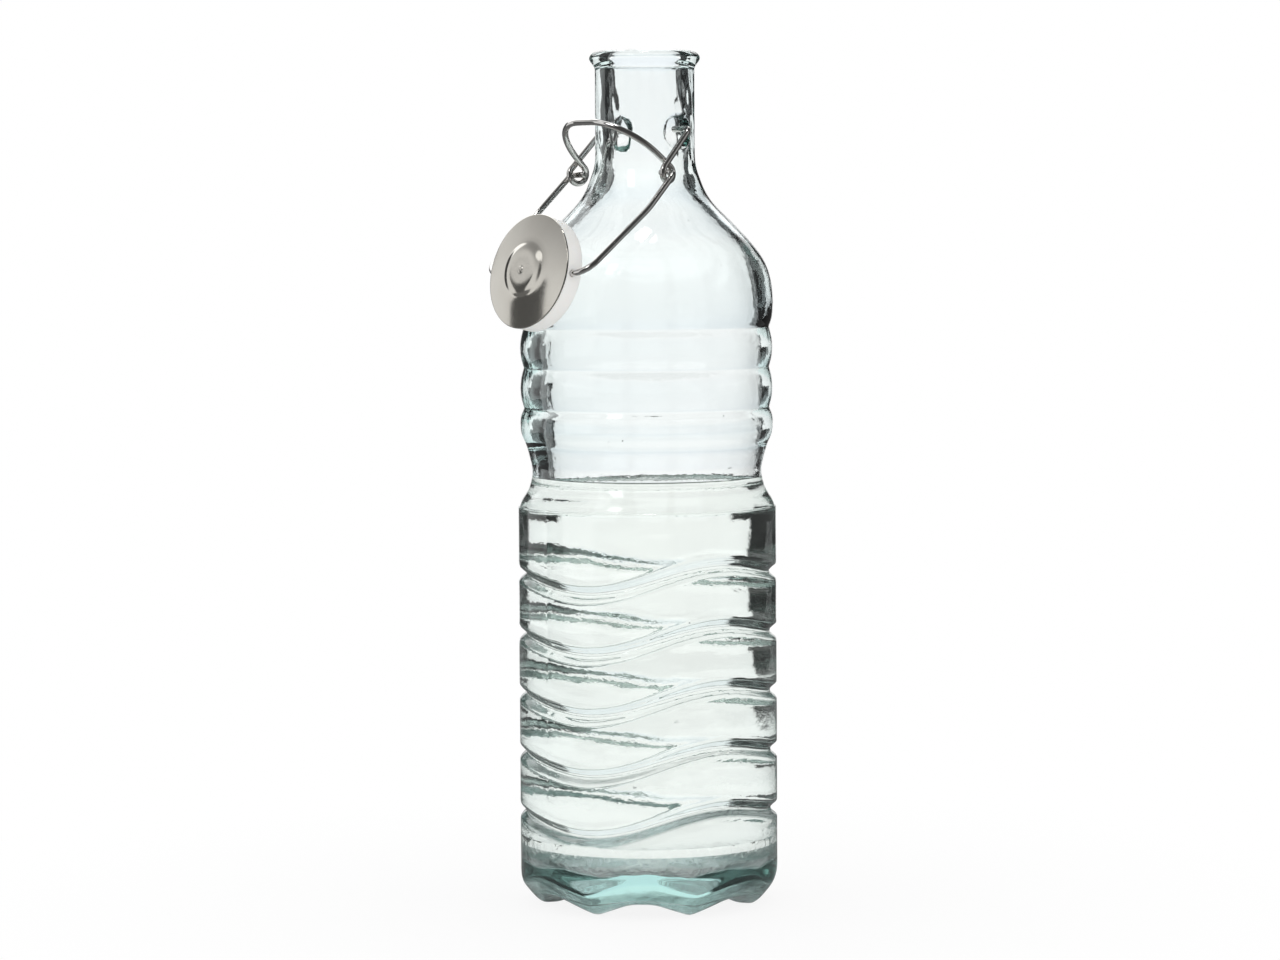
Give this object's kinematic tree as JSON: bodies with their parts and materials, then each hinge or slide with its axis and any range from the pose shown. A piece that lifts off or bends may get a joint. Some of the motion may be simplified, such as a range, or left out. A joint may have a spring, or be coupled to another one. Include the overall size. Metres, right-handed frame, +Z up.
{
  "type": "swing top bottle",
  "caption": "Tall round glass bottle with a ringed shoulder, wavy lower body, petal base and a wire-hung stopper that swings over its mouth.",
  "frame": {"origin": "centre of the base on the bottle's axis, level with the feet it stands on", "axes": "+Z up along the bottle's axis, X along the closure's hinge axis through the neck sockets, +Y towards the side where the stopper hangs"},
  "size_m": [0.093, 0.1065, 0.307],
  "materials": {
    "glass": "clear recycled glass with a pale green tint",
    "wire": "bright drawn stainless wire",
    "stopper_white": "smooth white plastic",
    "cap_metal": "satin stamped steel",
    "seal": "soft pale rubber"
  },
  "bodies": {
    "bottle": {"glass_bottle": "glass"},
    "lever": {"lever_wire": "wire"},
    "bail": {"bail_wire": "wire"},
    "stopper": {"stopper_body": "stopper_white", "stopper_cap_plate": "cap_metal", "gasket": "seal"}
  },
  "joints": [
    {"name": "lever_lift", "type": "hinge", "parent": "bottle", "child": "lever", "pos_m": [0, 0, 0.2787], "axis": [1, 0, 0], "range_deg": [0, 40]},
    {"name": "bail_swing", "type": "hinge", "parent": "lever", "child": "bail", "pos_m": [0, 0.011, 0.2631], "axis": [1, 0, 0], "range_deg": [0, 110.5]},
    {"name": "stopper_turn", "type": "hinge", "parent": "bail", "child": "stopper", "pos_m": [0, 0.0522, 0.2279], "axis": [1, 0, 0], "range_deg": [-74.2, 0]}
  ],
  "couplings": [
    {"joint": "stopper_turn", "follows": "bail_swing", "ratio": -0.671}
  ]
}
